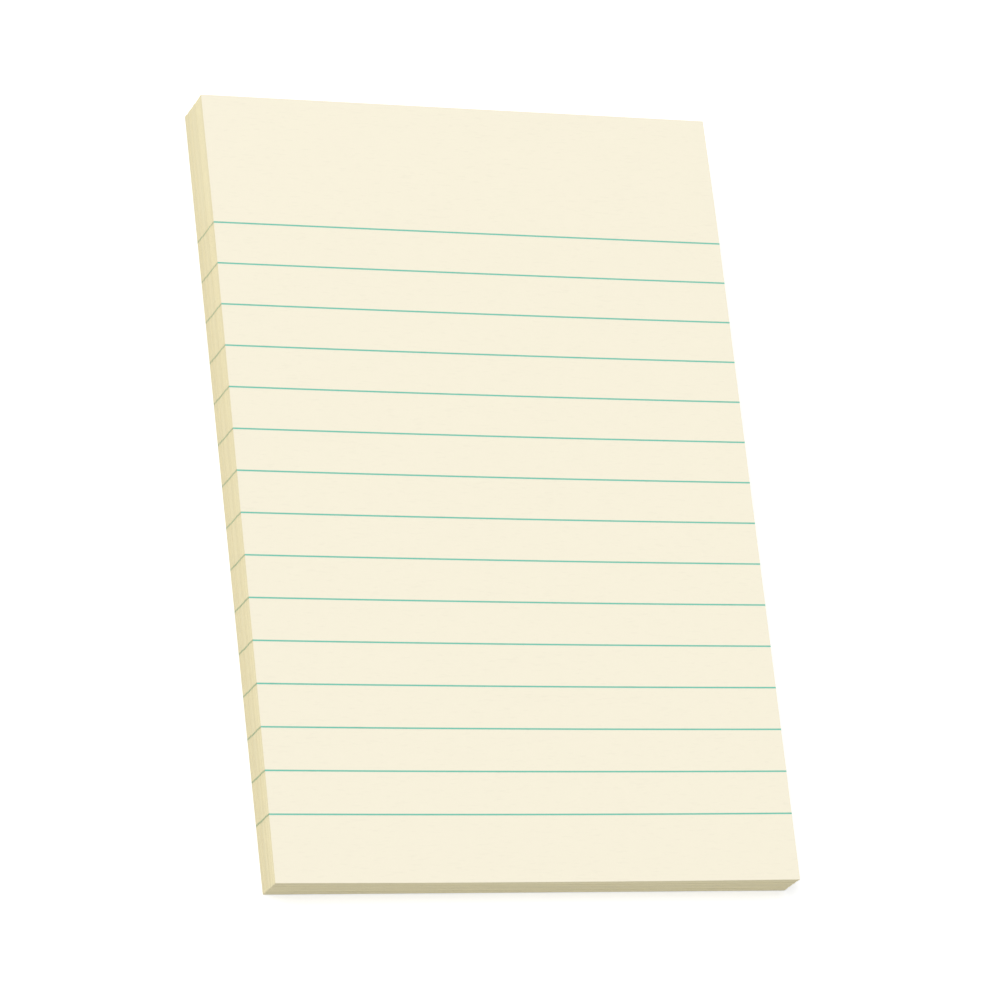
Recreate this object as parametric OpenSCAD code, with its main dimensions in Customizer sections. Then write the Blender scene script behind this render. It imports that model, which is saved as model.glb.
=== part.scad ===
// Pad of ruled sticky notes, lying on its backing sheet as it would on a desk.
// The origin is the middle of the underside. X runs along the ruled lines, Y runs
// towards the glued edge and Z points up, out of the top sheet. Sizes are in millimetres.

/* [Sheets] */
// Width of a sheet, along the ruled lines
sheet_w = 101; // [60:0.5:160]
// Length of a sheet, from its free edge to its glued edge
sheet_l = 150; // [90:0.5:220]
// Thickness of one sheet
sheet_t = 0.07; // [0.05:0.005:0.12]
// Number of sheets in the pad
sheet_count = 100; // [20:5:150]

/* [Adhesive] */
// Thickness of the adhesive strip on the back of each sheet
glue_t = 0.028; // [0.01:0.001:0.05]
// Width of that strip, measured from the glued edge
glue_w = 22; // [10:0.5:40]

/* [Ruling] */
// Blank head of a sheet, from the glued edge to the middle of the first line
head_l = 25.5; // [15:0.5:60]
// Smallest blank foot, from the middle of the last line to the free edge
foot_l = 12; // [5:0.5:40]
// Distance from one line to the next
line_pitch = 8; // [5:0.5:12]
// Width of a printed line
line_w = 0.35; // [0.2:0.05:0.8]
// Depth that the ink takes up in the paper
ink_t = 0.03; // [0.02:0.01:0.05]

/* [Cut edges] */
// Sheets in each bundle that stands flush along the cut edges
bundle_sheets = 10; // [4:1:20]
// Furthest that a bundle stands back from the true cut
edge_play = 0.06; // [0.02:0.01:0.15]

/* [Backing] */
// Thickness of the backing sheet
backing_t = 0.15; // [0.08:0.01:0.5]

/* [Hidden] */
overcut = 1;

// The bundles step in and out by turns of this angle, so no two in a row match,
// and each cut edge is one more edge_turn round from the last
bundle_turn = 137.5;
edge_turn = 90;
left_edge = 0;
right_edge = 1;
free_edge = 2;
glued_edge = 3;
bundle_count = ceil(sheet_count / bundle_sheets);

line_count = floor((sheet_l - head_l - foot_l) / line_pitch) + 1;
first_line_y = sheet_l / 2 - head_l;
glue_y = sheet_l / 2 - glue_w;

// Share of a strip's thickness that parts two sheets: all of it where the strip is,
// and none at the free edge, where the sheets lie on each other
function fan_share(y) = min(1, (y + sheet_l / 2) / (sheet_l - glue_w));

// Height of the face between sheet n and the next one up
function layer_z(n, y) = backing_t + n * (sheet_t + glue_t * fan_share(y));

stack_top = layer_z(sheet_count, glue_y);

// How far a bundle stands back at one of its four edges. The outer bundles are true.
function setback(bundle, edge) =
    bundle == 0 || bundle == bundle_count - 1
    ? 0
    : edge_play * (1 + sin(bundle * bundle_turn + edge * edge_turn)) / 2;

// Draws a side view, Y across and Z up, and carries it from x_low to x_high
module across(x_low, x_high) {
    rotate([90, 0, 90])
        translate([0, 0, x_low])
            linear_extrude(x_high - x_low)
                children();
}

// Side view of the sheets from number n_low to n_high, over their whole length: level
// over the strips, and thinner and thinner from there to the free edge
module fan_view(n_low, n_high) {
    bends = [-sheet_l / 2, glue_y, sheet_l / 2];
    polygon(concat(
        [for (i = [0 : 2]) [bends[i], layer_z(n_low, bends[i])]],
        [for (i = [2 : -1 : 0]) [bends[i], layer_z(n_high, bends[i])]]
    ));
}

// A bundle reaches one sheet down into the bundle below, which makes them one solid
module sheet_bundle(bundle) {
    n_low = bundle * bundle_sheets - min(bundle, 1);
    n_high = min((bundle + 1) * bundle_sheets, sheet_count);
    y_free = -sheet_l / 2 + setback(bundle, free_edge);
    y_glued = sheet_l / 2 - setback(bundle, glued_edge);
    intersection() {
        across(-sheet_w / 2 + setback(bundle, left_edge), sheet_w / 2 - setback(bundle, right_edge))
            fan_view(n_low, n_high);
        translate([-sheet_w / 2 - overcut, y_free, 0])
            cube([sheet_w + 2 * overcut, y_glued - y_free, stack_top + overcut]);
    }
}

// The inside of the stack, which no ink reaches. At both long edges it begins behind
// the bundles that stand back, so that the line ends are seated there too.
module plain_core() {
    ink_seat = edge_play + ink_t;
    translate([0, 0, -ink_t])
        across(-sheet_w / 2 + ink_seat, sheet_w / 2 - ink_seat)
            fan_view(0, sheet_count);
}

// Every sheet is printed up to its edges, so each line's groove runs over the top sheet
// and down both sides. The cuts stand out past the stack on all sides.
module line_cuts() {
    difference() {
        for (line = [0 : line_count - 1])
            translate([-sheet_w / 2 - overcut, first_line_y - line * line_pitch - line_w / 2, 0])
                cube([sheet_w + 2 * overcut, line_w, stack_top + overcut]);
        plain_core();
    }
}

// Where the last note's strip lies. As a cut, it stands out by spare past the sheets.
module glue_bed(spare) {
    translate([-sheet_w / 2 - spare, glue_y, backing_t - spare])
        cube([sheet_w + 2 * spare, glue_w + spare, glue_t + spare]);
}

// All the notes, held to each other by their adhesive strips
module note_sheets() {
    color([0.97, 0.94, 0.86])
        difference() {
            for (bundle = [0 : bundle_count - 1])
                sheet_bundle(bundle);
            line_cuts();
            glue_bed(overcut);
        }
}

module ruled_lines() {
    color([0.51, 0.82, 0.72])
        difference() {
            intersection() {
                across(-sheet_w / 2, sheet_w / 2)
                    fan_view(0, sheet_count);
                line_cuts();
            }
            glue_bed(overcut);
        }
}

// The last note's strip, which holds the notes to the backing sheet
module adhesive_strip() {
    color([0.93, 0.92, 0.86])
        glue_bed(0);
}

module backing_sheet() {
    color([0.96, 0.95, 0.90])
        translate([-sheet_w / 2, -sheet_l / 2, 0])
            cube([sheet_w, sheet_l, backing_t]);
}

note_sheets();
ruled_lines();
adhesive_strip();
backing_sheet();
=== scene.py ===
import math

import bpy
import numpy as np
from mathutils import Matrix, Vector


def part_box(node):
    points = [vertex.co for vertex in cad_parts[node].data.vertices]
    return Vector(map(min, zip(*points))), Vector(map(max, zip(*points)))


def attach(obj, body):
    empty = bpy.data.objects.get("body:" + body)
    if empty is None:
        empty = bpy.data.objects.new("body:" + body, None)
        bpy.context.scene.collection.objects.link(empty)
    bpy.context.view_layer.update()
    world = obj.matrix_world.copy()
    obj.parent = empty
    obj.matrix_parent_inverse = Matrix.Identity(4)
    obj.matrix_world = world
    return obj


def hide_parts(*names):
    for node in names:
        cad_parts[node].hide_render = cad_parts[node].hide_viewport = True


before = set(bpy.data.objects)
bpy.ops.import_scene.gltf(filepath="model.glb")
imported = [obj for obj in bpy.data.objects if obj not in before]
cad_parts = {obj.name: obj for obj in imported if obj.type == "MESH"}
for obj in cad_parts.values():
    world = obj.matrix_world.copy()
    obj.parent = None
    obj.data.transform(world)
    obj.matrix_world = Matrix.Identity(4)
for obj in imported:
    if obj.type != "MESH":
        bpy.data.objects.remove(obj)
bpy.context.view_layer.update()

scene = bpy.context.scene
scene.view_settings.view_transform = "Standard"
mm = 0.001  # lengths are in metres, so sizes below read as so many mm
flush = 0.001 * mm  # points closer to a plane than this lie in it

# The pad lies on its backing sheet: x along the ruled lines, y towards the glued edge, z up.
# The four cut edges are numbered as in the solids.
leftEdge, rightEdge, freeEdge, gluedEdge = 0, 1, 2, 3


def framePoints(nodeName):
    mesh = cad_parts[nodeName].data
    points = np.empty(len(mesh.vertices) * 3, np.float32)
    mesh.vertices.foreach_get("co", points)
    return points.reshape(-1, 3).astype(float)


padLow, padHigh = (np.array(corner, float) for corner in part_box("note_sheets"))
padWidth, padLength = (padHigh - padLow)[:2]
notePoints = framePoints("note_sheets")
onFreeEdge = notePoints[:, 1] < padLow[1] + flush
freeHeight = notePoints[onFreeEdge, 2].max() - padLow[2]  # of the stack of notes
gluedHeight = padHigh[2] - padLow[2]
stripLow, stripHigh = (np.array(corner, float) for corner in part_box("adhesive_strip"))
fanLength = stripLow[1] - padLow[1]  # from the free edge to where the adhesive starts
stripThick = stripHigh[2] - stripLow[2]

# each ruled line is bounded by two places along y, here to a thousandth of a mm
lineEdges = np.unique(np.round(framePoints("ruled_lines")[:, 1], 6)).reshape(-1, 2)
print(f"frame read: {len(lineEdges)} lines, notes {freeHeight / mm:.2f} to {gluedHeight / mm:.2f} mm high")

notePad = dict(
    sheets=100,
    bundle=10,                 # notes that were cut flush with each other
    bundleTurn=137.5,          # degrees from one bundle's step back to the next one's
    edgeTurn=90.0,             # and from one edge of the pad to the next
    bundleStep=0.06 * mm,      # furthest that a bundle stands back from the cut
    sheetStep=0.012 * mm,      # furthest that one note stands back in its bundle
    edgeWaver=0.008 * mm,      # slow waver of the cut along one edge
    waverTurns=1.7,            # waves in it from corner to corner
    waverSlip=0.11,            # share of a wave by which it slips from note to note
    edgeRound=0.008 * mm,      # how far a note's cut edge is drawn in from its two faces
    gapDepth=0.045 * mm,       # how far the cut edges are open between two notes
    gluedGapDepth=0.012 * mm,  # the same where adhesive fills the gap
    inkRoom=0.006 * mm,        # how far the cut edges stay inside the solids' box, for the ink on them
    bendRound=4.0 * mm,        # how softly the notes bend where they leave the adhesive
    curl=0.5 * mm,             # how far the stack's long edges rise above its middle
    curlReach=26.0 * mm,       # way from the adhesive on which the curl sets in
    cockle=0.04 * mm,          # deepest dip of the top sheet
    cockleWaves=((9, 4), (-3, 7)),  # radians across and along the sheet in each of the dip's two waves
    cellsAcross=40,
    cellsAlong=56,
    sharpAngle=20.0,           # degrees between two faces past which their edge shows
    longPaintedShade=0.05,             # painted shade: tone gained from the middle of the stack to its top, and lost towards its bottom, on the long sides, as if the lowest notes lay in shade near the floor
    endPaintedLight=-0.03,             # the same at the free and glued ends, which get darker there: painted light on the lowest notes at the ends, painted shade on their highest
    toneKnots=9,               # places round the pad that get a tone, and notes from one drift to the next
    driftTone=0.022,           # how much the cut edges' tone drifts over many notes
    noteTone=0.03,             # and from one note to the next
    gapPaintedShade=0.86,              # painted shade: how dark the gaps between the notes are drawn
    stepSeed=4,
    toneSeed=21,
)
sheetCount = notePad["sheets"]
sheetThick = (freeHeight - notePad["curl"]) / sheetCount
curlGap = notePad["curl"] / sheetCount
fanGap = (gluedHeight - freeHeight) / sheetCount  # room that each adhesive strip takes up
stepDraw = np.random.default_rng(notePad["stepSeed"])
sheetSteps = stepDraw.random((4, sheetCount)) * notePad["sheetStep"]


def edgeInset(edge, sheet, along):
    # inset = room for ink + bundle step + the note's own step + a sine waver that fades out at the corners
    bundle = sheet // notePad["bundle"]
    lastBundle = (sheetCount - 1) // notePad["bundle"]
    turned = np.radians(bundle * notePad["bundleTurn"] + edge * notePad["edgeTurn"])
    step = notePad["bundleStep"] * (1 + np.sin(turned)) / 2
    step = np.where((bundle == 0) | (bundle == lastBundle), 0, step)
    turns = notePad["waverTurns"] * along + notePad["waverSlip"] * sheet
    waver = notePad["edgeWaver"] * (1 + np.sin(2 * np.pi * turns + edge)) / 2
    return notePad["inkRoom"] + step + sheetSteps[edge][sheet] + waver * np.sin(np.pi * along)


def noteLevel(sheet, x, y):
    # height under a note = notes below it times (thickness + the gap between two notes)
    return padLow[2] + sheet * (sheetThick + airGap(x, y))


def airGap(x, y):
    # gap = fanGap * (1 - d) + curlGap * (1 - (1 - s * s) * (1 - exp(-d / c))), with
    # d the way from the adhesive to the free edge, from 0 to 1, as the soft maximum
    # (f + sqrt(f * f + r * r)) / 2 of the straight way f and 0, and r its softness;
    # s the place across, from -1 to 1; and c the curl's reach as a share of that way
    straight = (stripLow[1] - y) / fanLength
    soft = notePad["bendRound"] / fanLength
    away = (straight + np.sqrt(straight ** 2 + soft ** 2)) / 2
    middle = 1 - (2 * (x - padLow[0]) / padWidth - 1) ** 2
    curled = 1 - middle * (1 - np.exp(-away * fanLength / notePad["curlReach"]))
    return fanGap * (1 - away) + curlGap * curled


def topHeight(x, y):
    # the top note's face, less a dip of two waves that fades out at all four edges
    u, v = (x - padLow[0]) / padWidth, (y - padLow[1]) / padLength
    firstWave, secondWave = (np.sin(i * u + j * v) for i, j in notePad["cockleWaves"])
    dip = np.sin(np.pi * u) * np.sin(np.pi * v) * (1 + firstWave * secondWave) / 2
    return noteLevel(sheetCount - 1, x, y) + airGap(x, y) / 2 + sheetThick - notePad["cockle"] * dip


def outlineWalk(across, along):
    # a walk round the unit square, counter-clockwise from the corner of the left and free edges
    i, j = np.arange(across) / across, np.arange(along) / along
    u = np.concatenate([i, np.ones(along), 1 - i, np.zeros(along)])
    v = np.concatenate([np.zeros(across), j, np.ones(across), 1 - j])
    return u, v


def meshPiece(name, points, quads, faceValues):
    mesh = bpy.data.meshes.new(name)
    mesh.from_pydata(points.tolist(), [], quads.tolist())
    for valueName, values in faceValues.items():
        attribute = mesh.attributes.new(valueName, "FLOAT", "FACE")
        attribute.data.foreach_set("value", np.asarray(values, np.float32))
    piece = bpy.data.objects.new(name, mesh)
    scene.collection.objects.link(piece)
    return piece


def sheetTonesAndShade(paintedShadeRise):
    # tone = 1 + a straight rise from the lowest note to the highest, which is painted shade and light, + a
    # drift over many notes
    # + a small change from note to note, and the last two also wander slowly round the pad
    knots = notePad["toneKnots"]
    draw = np.random.default_rng(notePad["toneSeed"])
    coarse = draw.normal(size=(sheetCount // knots + 2, knots))
    fine = draw.normal(size=(sheetCount, knots))
    notePlace = np.arange(sheetCount) / knots
    low = notePlace.astype(int)
    drift = coarse[low] + (coarse[low + 1] - coarse[low]) * (notePlace - low)[:, None]
    edgePlace = np.linspace(0, knots - 1, len(paintedShadeRise))
    start = np.minimum(edgePlace.astype(int), knots - 2)
    part = edgePlace - start
    blended = notePad["driftTone"] * drift + notePad["noteTone"] * fine
    # painted shade and light: each note drawn lighter or darker by its height in the stack
    withPaintedShade = 1 + paintedShadeRise * np.linspace(-1, 1, sheetCount)[:, None]
    return withPaintedShade + blended[:, start] * (1 - part) + blended[:, start + 1] * part


def buildNotes():
    across, along = notePad["cellsAcross"], notePad["cellsAlong"]
    u, v = outlineWalk(across, along)
    ringSize = len(u)
    sheet = np.arange(sheetCount)[:, None]
    insets = [edgeInset(edge, sheet, v if edge in (leftEdge, rightEdge) else u) for edge in range(4)]

    # a gap goes in past the deeper of the two cuts beside it, by its own depth
    inGlue = v > fanLength / padLength
    depth = np.where(inGlue, notePad["gluedGapDepth"], notePad["gapDepth"])
    gapInsets = [np.maximum(inset[:-1], inset[1:]) + depth for inset in insets]

    def ringPlaces(inset):
        # from one edge's inset to the opposite edge's, in proportion to the walk's u and v
        x = padLow[0] + inset[leftEdge] + (padWidth - inset[leftEdge] - inset[rightEdge]) * u
        y = padLow[1] + inset[freeEdge] + (padLength - inset[freeEdge] - inset[gluedEdge]) * v
        return x, y

    noteX, noteY = ringPlaces(insets)
    gapX, gapY = ringPlaces(gapInsets)
    underside = noteLevel(sheet, noteX, noteY) + airGap(noteX, noteY) / 2
    upper = underside + sheetThick - notePad["edgeRound"]
    upper[-1] += notePad["edgeRound"]
    underside += notePad["edgeRound"]
    underside[0] = padLow[2] + stripThick * inGlue

    # three rings for each note: its lower edge, its upper edge and the gap above it
    rings = np.empty((3 * sheetCount - 1, ringSize, 3))
    rings[0::3] = np.stack([noteX, noteY, underside], 2)
    rings[1::3] = np.stack([noteX, noteY, upper], 2)
    rings[2::3] = np.stack([gapX, gapY, noteLevel(sheet[1:], gapX, gapY)], 2)
    ringCount = len(rings)

    corner = np.arange(ringCount - 1)[:, None] * ringSize + np.arange(ringSize)
    nextCorner = np.arange(ringCount - 1)[:, None] * ringSize + (np.arange(ringSize) + 1) % ringSize
    sides = np.stack([corner, nextCorner, nextCorner + ringSize, corner + ringSize], 2).reshape(-1, 4)

    # the caps are grids whose outer points are those of the lowest and the highest ring
    walkIndex = np.zeros((along + 1, across + 1), int)
    walkIndex[0, :] = np.arange(across + 1)
    walkIndex[:, across] = across + np.arange(along + 1)
    walkIndex[along, :] = across + along + np.arange(across, -1, -1)
    walkIndex[1:, 0] = 2 * across + along + np.arange(along - 1, -1, -1)
    gridU, gridV = np.meshgrid(np.arange(1, across) / across, np.arange(1, along) / along)
    insideX = (padLow[0] + padWidth * gridU).ravel()
    insideY = (padLow[1] + padLength * gridV).ravel()
    capPoints, capQuads = [], []
    stripRise = stripThick * (insideY > stripLow[1])
    for ring, heights in ((0, padLow[2] + stripRise), (ringCount - 1, topHeight(insideX, insideY))):
        grid = walkIndex + ring * ringSize
        first = ringCount * ringSize + sum(len(points) for points in capPoints)
        grid[1:along, 1:across] = first + np.arange(len(insideX)).reshape(along - 1, across - 1)
        cells = np.stack([grid[:-1, :-1], grid[:-1, 1:], grid[1:, 1:], grid[1:, :-1]], 2).reshape(-1, 4)
        capQuads.append(cells if ring else cells[:, ::-1])
        capPoints.append(np.stack([insideX, insideY, heights], 1))

    points = np.concatenate([rings.reshape(-1, 3), *capPoints])
    quads = np.concatenate([sides, *capQuads])
    bandKind = np.arange(ringCount - 1) % 3  # 0 is a note's cut edge, 1 and 2 lead into a gap
    # painted shade low on the long sides, painted light low on the free and glued ends
    paintedShadeRise = np.repeat([notePad["endPaintedLight"], notePad["longPaintedShade"]] * 2, [across, along] * 2)
    tonesAndShade = sheetTonesAndShade(paintedShadeRise)[np.arange(ringCount - 1) // 3]
    # painted shade: the gaps between the notes drawn darker
    tonesAndShade = tonesAndShade * np.where(bandKind == 0, 1, notePad["gapPaintedShade"])[:, None]
    capFaces = sum(len(cells) for cells in capQuads)
    faceValues = dict(
        cutEdge=np.concatenate([np.ones(len(sides)), np.zeros(capFaces)]),
        edgeToneAndShade=np.concatenate([tonesAndShade.ravel(), np.ones(capFaces)]),
    )
    piece = meshPiece("noteStack", points, quads, faceValues)
    piece.data.shade_smooth()
    piece.data.set_sharp_from_angle(angle=math.radians(notePad["sharpAngle"]))
    return piece


ruledInk = dict(
    lift=0.006 * mm,     # ink above the paper
    drift=0.03 * mm,     # how far the print wanders through the pad
    jitter=0.012 * mm,   # and from one note to the next
    stained=0.8,         # share of a note's cut edge that the end of a line stains
    feather=(0.5, 1.0, 1.0, 1.0, 0.5),  # how dense the ink is in each strip across a line
    driftTurn=0.11,      # radians from one note to the next
    inkSeed=8,
)


def printShift():
    # shift = a slow sine down the pad + a small random part, and none on the top note
    draw = np.random.default_rng(ruledInk["inkSeed"])
    sheet = np.arange(sheetCount)
    shift = ruledInk["drift"] * np.sin(ruledInk["driftTurn"] * sheet)
    shift = shift + ruledInk["jitter"] * draw.normal(size=(len(lineEdges), sheetCount))
    return shift - shift[:, -1:]


def lineEnds(edge, sheet, y):
    # x of a note's cut edge at y = the box's side, less the note's inset there
    inset = edgeInset(edge, sheet, (y - padLow[1]) / padLength)
    return padLow[0] + inset if edge == leftEdge else padHigh[0] - inset


def buildInk():
    across, strips = notePad["cellsAcross"], len(ruledInk["feather"])
    lift = ruledInk["lift"]

    # printed bands on the top note: y = the line's near edge + its width times the strip's share
    stripShare = np.arange(strips + 1) / strips
    y = np.repeat((lineEdges[:, :1] + np.diff(lineEdges) * stripShare)[:, :, None], across + 1, 2)
    left, right = (lineEnds(edge, sheetCount - 1, y) for edge in (leftEdge, rightEdge))
    x = left + (right - left) * np.arange(across + 1) / across
    bands = np.stack([x, y, topHeight(x, y) + lift], 3)
    number = np.arange(y.size).reshape(y.shape)
    cells = [number[:, :-1, :-1], number[:, :-1, 1:], number[:, 1:, 1:], number[:, 1:, :-1]]
    bandQuads = np.stack(cells, 3).reshape(-1, 4)
    cover = np.broadcast_to(np.array(ruledInk["feather"])[:, None], cells[0].shape).ravel()

    # a small stain at both ends of every line on every note, from the note's upper face
    # down over the stained share of its cut edge
    sheet = np.arange(sheetCount)
    yNear = lineEdges[:, :1] + printShift()
    yFar = lineEdges[:, 1:] + printShift()
    stains = []
    for edge, outward in ((leftEdge, -1), (rightEdge, 1)):
        corners = []
        for yPlace, share in ((yNear, 0), (yFar, 0), (yFar, 1), (yNear, 1)):
            xPlace = lineEnds(edge, sheet, yPlace)
            upper = noteLevel(sheet, xPlace, yPlace) + airGap(xPlace, yPlace) / 2 + sheetThick
            height = upper - (1 - share) * ruledInk["stained"] * sheetThick
            corners.append(np.stack([xPlace + outward * lift, yPlace, height], 2))
        stain = np.stack(corners, 2).reshape(-1, 4, 3)
        stains.append(stain if edge == rightEdge else stain[:, ::-1])
    stainPoints = np.concatenate(stains).reshape(-1, 3)
    stainQuads = y.size + np.arange(len(stainPoints)).reshape(-1, 4)

    points = np.concatenate([bands.reshape(-1, 3), stainPoints])
    quads = np.concatenate([bandQuads, stainQuads])
    faceValues = dict(
        cutEdge=np.concatenate([np.zeros(len(bandQuads)), np.ones(len(stainQuads))]),
        inkCover=np.concatenate([cover, np.ones(len(stainQuads))]),
    )
    return meshPiece("ruledInk", points, quads, faceValues)


paperFibres = dict(
    cloudNoise=(260.0, 3.0),    # scale and detail; thickness clouds of the paper, about 4 mm across
    grainNoise=(3200.0, 2.0),
    fleckNoise=(2600.0, 1.0),
    fleckTurns=(0.4, 1.9),      # radians, the two ways that longer fibres lie
    fleckStretch=0.16,          # scale along a fleck, which makes it six times as long as wide
    fleckRange=(0.12, 0.26),    # noise from which a fleck starts to show, and shows fully
    fleckRelief=0.3,            # height of a fleck against the grain's
    cloudDepth=0.016,           # how much the clouds change the paper's tone
    fleckDepth=0.024,           # and its longer fibres
    grainDepth=0.012,           # and its finest grain
)


def linear(colour):
    # each channel c of sRGB, out of 255, goes to ((c + 0.055) / 1.055) to the power 2.4,
    # or to c / 12.92 near black
    share = np.array(colour) / 255
    curve = np.where(share > 0.04045, ((share + 0.055) / 1.055) ** 2.4, share / 12.92)
    return (*curve.tolist(), 1.0)


def addNode(tree, kind, settings=None, **inputs):
    node = tree.nodes.new(kind)
    for name, value in (settings or {}).items():
        setattr(node, name, value)
    for name, value in inputs.items():
        socket = node.inputs[int(name[1:])] if name[1:].isdigit() else node.inputs[name]
        if isinstance(value, bpy.types.NodeSocket):
            tree.links.new(value, socket)
        else:
            socket.default_value = value
    return node


def mathNode(tree, operation, first, second):
    return addNode(tree, "ShaderNodeMath", dict(operation=operation), i0=first, i1=second).outputs[0]


def paperFibreGroup():
    # Tone is 1 plus clouds, less thin flecks in two directions, plus grain.
    # Height is grain and flecks for the bump.
    tree = bpy.data.node_groups.new("paperFibre", "ShaderNodeTree")
    for name in ("CloudDepth", "FleckDepth", "GrainDepth"):
        tree.interface.new_socket(name=name, in_out="INPUT", socket_type="NodeSocketFloat")
    for name in ("Tone", "Height"):
        tree.interface.new_socket(name=name, in_out="OUTPUT", socket_type="NodeSocketFloat")
    given = tree.nodes.new("NodeGroupInput")
    place = tree.nodes.new("ShaderNodeTexCoord").outputs["Object"]

    def noise(vector, scale, detail):
        made = addNode(tree, "ShaderNodeTexNoise", Vector=vector, Scale=scale, Detail=detail)
        return mathNode(tree, "SUBTRACT", made.outputs[0], 0.5)

    cloud = noise(place, *paperFibres["cloudNoise"])
    grain = noise(place, *paperFibres["grainNoise"])
    stretch = (paperFibres["fleckStretch"], 1.0, 1.0)
    faint, full = paperFibres["fleckRange"]
    flecks = []
    for turn in paperFibres["fleckTurns"]:
        turned = (0.0, 0.0, turn)
        stretched = addNode(tree, "ShaderNodeMapping", Vector=place, Rotation=turned, Scale=stretch)
        streak = noise(stretched.outputs[0], *paperFibres["fleckNoise"])
        sharp = addNode(tree, "ShaderNodeMapRange", i0=streak, i1=faint, i2=full)
        flecks.append(sharp.outputs[0])
    fleck = mathNode(tree, "MAXIMUM", flecks[0], flecks[1])

    tone = mathNode(tree, "MULTIPLY", cloud, given.outputs["CloudDepth"])
    tone = mathNode(tree, "ADD", tone, mathNode(tree, "MULTIPLY", grain, given.outputs["GrainDepth"]))
    tone = mathNode(tree, "SUBTRACT", tone, mathNode(tree, "MULTIPLY", fleck, given.outputs["FleckDepth"]))
    tone = mathNode(tree, "ADD", tone, 1.0)
    height = mathNode(tree, "ADD", grain, mathNode(tree, "MULTIPLY", fleck, paperFibres["fleckRelief"]))
    addNode(tree, "NodeGroupOutput", Tone=tone, Height=height)
    return tree


paperFibre = paperFibreGroup()


def startMaterial(name, roughness):
    material = bpy.data.materials.new(name)
    material.use_nodes = True
    tree = material.node_tree
    shader = tree.nodes["Principled BSDF"]
    shader.inputs["Roughness"].default_value = roughness
    return material, tree, shader


def toned(tree, colour, tone):
    # colour times tone, channel by channel
    grey = addNode(tree, "ShaderNodeCombineColor", Red=tone, Green=tone, Blue=tone).outputs[0]
    settings = dict(data_type="RGBA", blend_type="MULTIPLY")
    return addNode(tree, "ShaderNodeMix", settings, i0=1.0, i6=colour, i7=grey).outputs[2]


def valueMix(tree, valueName, colourAtZero, colourAtOne):
    # from one colour to the other by a value that the piece's faces carry
    value = addNode(tree, "ShaderNodeAttribute", dict(attribute_name=valueName)).outputs["Fac"]
    settings = dict(data_type="RGBA")
    return addNode(tree, "ShaderNodeMix", settings, i0=value, i6=colourAtZero, i7=colourAtOne).outputs[2]


def fibreNodes(tree, share):
    group = addNode(
        tree, "ShaderNodeGroup", dict(node_tree=paperFibre),
        CloudDepth=paperFibres["cloudDepth"] * share,
        FleckDepth=paperFibres["fleckDepth"] * share,
        GrainDepth=paperFibres["grainDepth"] * share,
    )
    return group.outputs["Tone"], group.outputs["Height"]


def bump(tree, shader, height, distance):
    bumped = addNode(tree, "ShaderNodeBump", Height=height, Distance=distance, Strength=1.0)
    tree.links.new(bumped.outputs[0], shader.inputs["Normal"])


noteLook = dict(
    sheetColour=(249, 242, 220),    # face of a note, as red, green and blue out of 255
    cutColour=(243, 233, 194),      # cut edges, deeper because light is lost between the notes
    roughness=0.92,
    uneven=1.0,                     # how strongly the fibres show
    relief=0.006 * mm,
)


def notePaper():
    material, tree, shader = startMaterial("notePaper", noteLook["roughness"])
    tone, height = fibreNodes(tree, noteLook["uneven"])
    colour = valueMix(tree, "cutEdge", linear(noteLook["sheetColour"]), linear(noteLook["cutColour"]))
    # the cut edges' tone: the notes' own tone times painted shade in the gaps and by height in the stack
    edgeToneAndShade = addNode(tree, "ShaderNodeAttribute", dict(attribute_name="edgeToneAndShade")).outputs["Fac"]
    colour = toned(tree, colour, mathNode(tree, "MULTIPLY", tone, edgeToneAndShade))
    tree.links.new(colour, shader.inputs["Base Color"])
    bump(tree, shader, height, noteLook["relief"])
    return material


inkLook = dict(
    lineColour=(102, 197, 173),
    stainColour=(166, 190, 150),    # ends of the lines on the cut edges
    roughness=0.8,
    uneven=3.0,                     # ink takes unevenly on the fibres
    relief=0.004 * mm,
)


def lineInk():
    material, tree, shader = startMaterial("lineInk", inkLook["roughness"])
    tone, height = fibreNodes(tree, inkLook["uneven"])
    colour = valueMix(tree, "cutEdge", linear(inkLook["lineColour"]), linear(inkLook["stainColour"]))
    colour = valueMix(tree, "inkCover", linear(noteLook["sheetColour"]), colour)
    tree.links.new(toned(tree, colour, tone), shader.inputs["Base Color"])
    bump(tree, shader, height, inkLook["relief"])
    return material


backingLook = dict(colour=(246, 243, 232), roughness=0.55, uneven=1.6, relief=0.004 * mm)
adhesiveLook = dict(colour=(238, 235, 220), roughness=0.35, uneven=2.0, relief=0.008 * mm)


def oneColour(name, look):
    material, tree, shader = startMaterial(name, look["roughness"])
    tone, height = fibreNodes(tree, look["uneven"])
    tree.links.new(toned(tree, linear(look["colour"]), tone), shader.inputs["Base Color"])
    bump(tree, shader, height, look["relief"])
    return material


def dress(piece, material):
    piece.data.materials.clear()
    piece.data.materials.append(material)


noteStack = buildNotes()
dress(noteStack, notePaper())
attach(noteStack, "root")
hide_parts("note_sheets")
print("notes built:", len(noteStack.data.polygons), "faces")

inkPiece = buildInk()
dress(inkPiece, lineInk())
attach(inkPiece, "root")
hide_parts("ruled_lines")
print("ruling built:", len(inkPiece.data.polygons), "faces")

dress(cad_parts["backing_sheet"], oneColour("backingPaper", backingLook))
dress(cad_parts["adhesive_strip"], oneColour("adhesiveFilm", adhesiveLook))
print("backing and adhesive finished")

studio = dict(
    floorSize=8.0,
    floorDrop=0.05 * mm,        # floor under the pad's underside
    floorColour=(230, 230, 230),
    floorGlow=0.3,              # lifts only what the camera sees of the floor, to white
    skyStrength=0.655,          # of its light; the camera sees it at 1
    skyColour=(250, 252, 255),
    keyPlace=(-2.4, 1.1, 4.2),
    keySize=2.9,
    keyPower=117.0,
    keyColour=(255, 252, 247),
)


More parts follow.
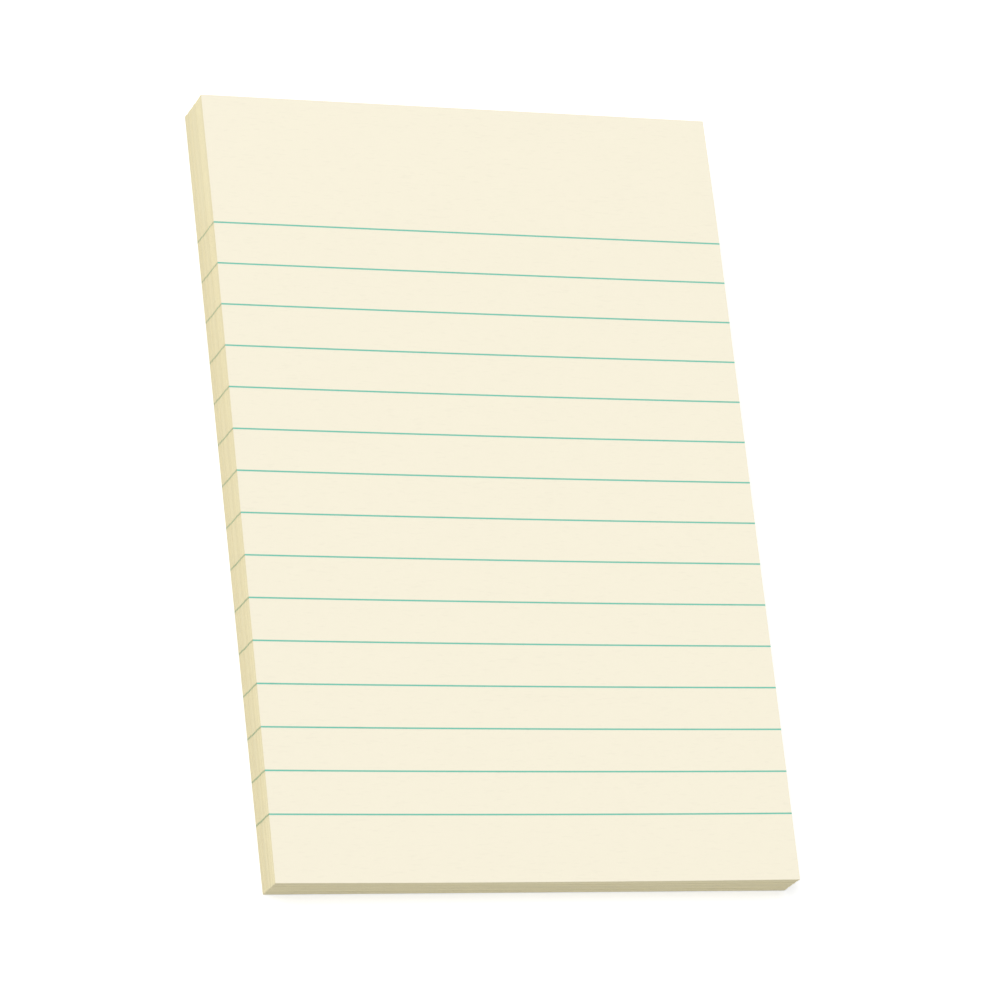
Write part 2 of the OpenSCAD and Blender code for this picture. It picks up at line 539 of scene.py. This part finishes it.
def cameraRays(tree):
    # 1 for what the camera sees, directly, in a reflection or through something clear
    path = tree.nodes.new("ShaderNodeLightPath").outputs
    seen = mathNode(tree, "MAXIMUM", path["Is Camera Ray"], path["Is Glossy Ray"])
    return mathNode(tree, "MAXIMUM", seen, path["Is Transmission Ray"])


def buildStudio():
    half = studio["floorSize"] / 2
    corners = np.array([(-half, -half), (half, -half), (half, half), (-half, half)])
    points = np.column_stack([corners, np.full(4, -studio["floorDrop"])])
    floor = meshPiece("floor", points, np.array([[0, 1, 2, 3]]), {})
    material, tree, shader = startMaterial("paleFloor", 1.0)
    seen = cameraRays(tree)
    settings = dict(data_type="RGBA")
    white = (1.0, 1.0, 1.0, 1.0)
    floorColour = linear(studio["floorColour"])
    colour = addNode(tree, "ShaderNodeMix", settings, i0=seen, i6=floorColour, i7=white)
    tree.links.new(colour.outputs[2], shader.inputs["Base Color"])
    shader.inputs["Specular IOR Level"].default_value = 0.0
    shader.inputs["Emission Color"].default_value = white
    glow = mathNode(tree, "MULTIPLY", seen, studio["floorGlow"])
    tree.links.new(glow, shader.inputs["Emission Strength"])
    dress(floor, material)

    world = bpy.data.worlds.new("softSky")
    scene.world = world
    world.use_nodes = True
    sky = world.node_tree
    background = sky.nodes["Background"]
    seen = cameraRays(sky)
    skyColour = linear(studio["skyColour"])
    colour = addNode(sky, "ShaderNodeMix", settings, i0=seen, i6=skyColour, i7=white)
    sky.links.new(colour.outputs[2], background.inputs["Color"])
    lit = mathNode(sky, "MULTIPLY", seen, 1.0 - studio["skyStrength"])
    sky.links.new(mathNode(sky, "ADD", lit, studio["skyStrength"]), background.inputs["Strength"])

    lamp = bpy.data.lights.new("softKey", "AREA")
    lamp.shape = "SQUARE"
    lamp.size = studio["keySize"]
    lamp.energy = studio["keyPower"]
    lamp.color = linear(studio["keyColour"])[:3]
    key = bpy.data.objects.new("softKey", lamp)
    key.location = studio["keyPlace"]
    key.rotation_euler = Vector(studio["keyPlace"]).to_track_quat("Z", "Y").to_euler()
    scene.collection.objects.link(key)


buildStudio()
print("floor and lights placed")

photoView = dict(
    place=(-345.0 * mm, -312.9 * mm, 814.3 * mm),
    aim=(-0.18 * mm, -3.0 * mm, 8.6 * mm),
    roll=-45.27,    # degrees about the line of sight, which stands the pad upright in the picture
    lens=183.3,     # mm, as the sensor's width
    sensor=36.0,
    nearest=0.01,   # metres between which things show
    furthest=50.0,
)


def buildCamera():
    camera = bpy.data.objects.new("camera", bpy.data.cameras.new("camera"))
    camera.data.lens = photoView["lens"]
    camera.data.sensor_width = photoView["sensor"]
    place = Vector(photoView["place"])
    sight = (Vector(photoView["aim"]) - place).normalized()
    level = sight.cross(Vector((0.0, 0.0, 1.0))).normalized()
    across = Matrix.Rotation(math.radians(photoView["roll"]), 3, sight) @ level
    up = across.cross(sight)
    turn = Matrix((across, up, -sight)).transposed()
    camera.matrix_world = Matrix.Translation(place) @ turn.to_4x4()
    camera.data.clip_start = photoView["nearest"]
    camera.data.clip_end = photoView["furthest"]
    scene.collection.objects.link(camera)
    scene.camera = camera


buildCamera()
